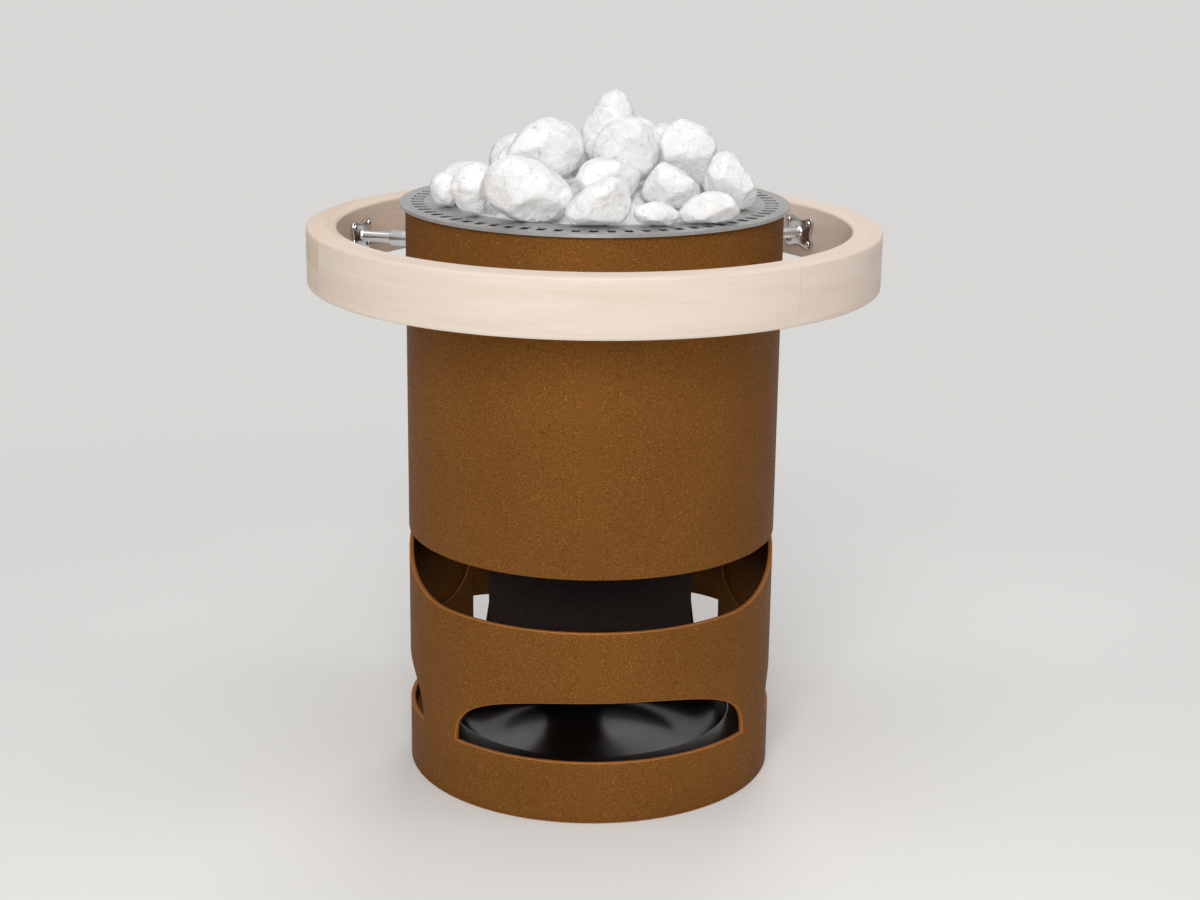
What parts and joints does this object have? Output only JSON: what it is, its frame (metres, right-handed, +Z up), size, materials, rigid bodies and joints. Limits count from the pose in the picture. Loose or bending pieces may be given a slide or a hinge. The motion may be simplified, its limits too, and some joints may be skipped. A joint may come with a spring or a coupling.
{
  "type": "sauna heater stove",
  "caption": "Free-standing round electric sauna heater: coated drum on a slotted base, heaped white stones on a slotted top plate, wooden guard rail on brackets, loose drip bowl.",
  "frame": {"origin": "centre of the base on the floor", "axes": "+Z up, -Y to the front window and the picture's viewer, +X to the viewer's right"},
  "size_m": [0.6075, 0.6076, 0.736],
  "materials": {
    "rust_brown_coat": "textured rust-brown coat with gold and dark flecks",
    "quartz_stone": "worn white quartz with grey veins",
    "pale_wood": "pale sanded wood, glued from lengths",
    "polished_stainless": "polished stainless steel",
    "stainless_sheet": "plain stainless sheet",
    "galvanised_sheet": "galvanised sheet",
    "element_steel": "heat-tinted steel tube",
    "black_enamel": "glossy black enamel",
    "dark_coated_sheet": "dark speckled coat",
    "insulator": "unglazed ceramic",
    "black_gland": "moulded black"
  },
  "bodies": {
    "stove": {"base_tube": "rust_brown_coat", "bowl_ring": "rust_brown_coat", "cable_gland": "black_gland", "drum_floor": "galvanised_sheet", "drum_shell": "rust_brown_coat", "element_holder": "stainless_sheet", "heat_shield": "galvanised_sheet", "heating_element_1": "element_steel", "heating_element_2": "element_steel", "heating_element_3": "element_steel", "heating_element_4": "element_steel", "heating_element_5": "element_steel", "heating_element_6": "element_steel", "rail_flange_1": "polished_stainless", "rail_flange_2": "polished_stainless", "rail_flange_3": "polished_stainless", "rail_rod_1": "polished_stainless", "rail_rod_2": "polished_stainless", "rail_rod_3": "polished_stainless", "rail_segment_1": "pale_wood", "rail_segment_2": "pale_wood", "rail_segment_3": "pale_wood", "rail_sleeve_1": "polished_stainless", "rail_sleeve_2": "polished_stainless", "rail_sleeve_3": "polished_stainless", "rear_support": "rust_brown_coat", "stone_back_left": "quartz_stone", "stone_back_left_low": "quartz_stone", "stone_back_middle": "quartz_stone", "stone_back_right": "quartz_stone", "stone_back_right_low": "quartz_stone", "stone_basket": "stainless_sheet", "stone_bed": "quartz_stone", "stone_far_left": "quartz_stone", "stone_front_left": "quartz_stone", "stone_front_middle": "quartz_stone", "stone_front_right": "quartz_stone", "stone_front_small": "quartz_stone", "stone_grate": "stainless_sheet", "stone_inner_back": "quartz_stone", "stone_inner_back_left": "quartz_stone", "stone_inner_back_right": "quartz_stone", "stone_inner_left": "quartz_stone", "stone_left": "quartz_stone", "stone_middle": "quartz_stone", "stone_middle_right": "quartz_stone", "stone_right": "quartz_stone", "terminal_block": "insulator", "terminal_box": "dark_coated_sheet", "terminal_box_lid": "dark_coated_sheet", "top_plate": "stainless_sheet"},
    "bowl": {"drip_bowl": "black_enamel"},
    "loose_stone_peak": {"stone_peak": "quartz_stone"},
    "loose_stone_upper_left": {"stone_upper_left": "quartz_stone"},
    "loose_stone_upper_middle": {"stone_upper_middle": "quartz_stone"},
    "loose_stone_upper_right": {"stone_upper_right": "quartz_stone"},
    "loose_stone_upper_back_left": {"stone_upper_back_left": "quartz_stone"},
    "loose_stone_upper_back_right": {"stone_upper_back_right": "quartz_stone"}
  },
  "joints": [
    {"name": "bowl_lift", "type": "slide", "parent": "stove", "child": "bowl", "axis": [0, 0, 1], "range_m": [0, 0.12]},
    {"name": "stone_peak_lift", "type": "slide", "parent": "stove", "child": "loose_stone_peak", "axis": [0, 0, 1], "range_m": [0, 0.12]},
    {"name": "stone_upper_left_lift", "type": "slide", "parent": "stove", "child": "loose_stone_upper_left", "axis": [0, 0, 1], "range_m": [0, 0.12]},
    {"name": "stone_upper_middle_lift", "type": "slide", "parent": "stove", "child": "loose_stone_upper_middle", "axis": [0, 0, 1], "range_m": [0, 0.12]},
    {"name": "stone_upper_right_lift", "type": "slide", "parent": "stove", "child": "loose_stone_upper_right", "axis": [0, 0, 1], "range_m": [0, 0.12]},
    {"name": "stone_upper_back_left_lift", "type": "slide", "parent": "stove", "child": "loose_stone_upper_back_left", "axis": [0, 0, 1], "range_m": [0, 0.12]},
    {"name": "stone_upper_back_right_lift", "type": "slide", "parent": "stove", "child": "loose_stone_upper_back_right", "axis": [0, 0, 1], "range_m": [0, 0.12]}
  ]
}
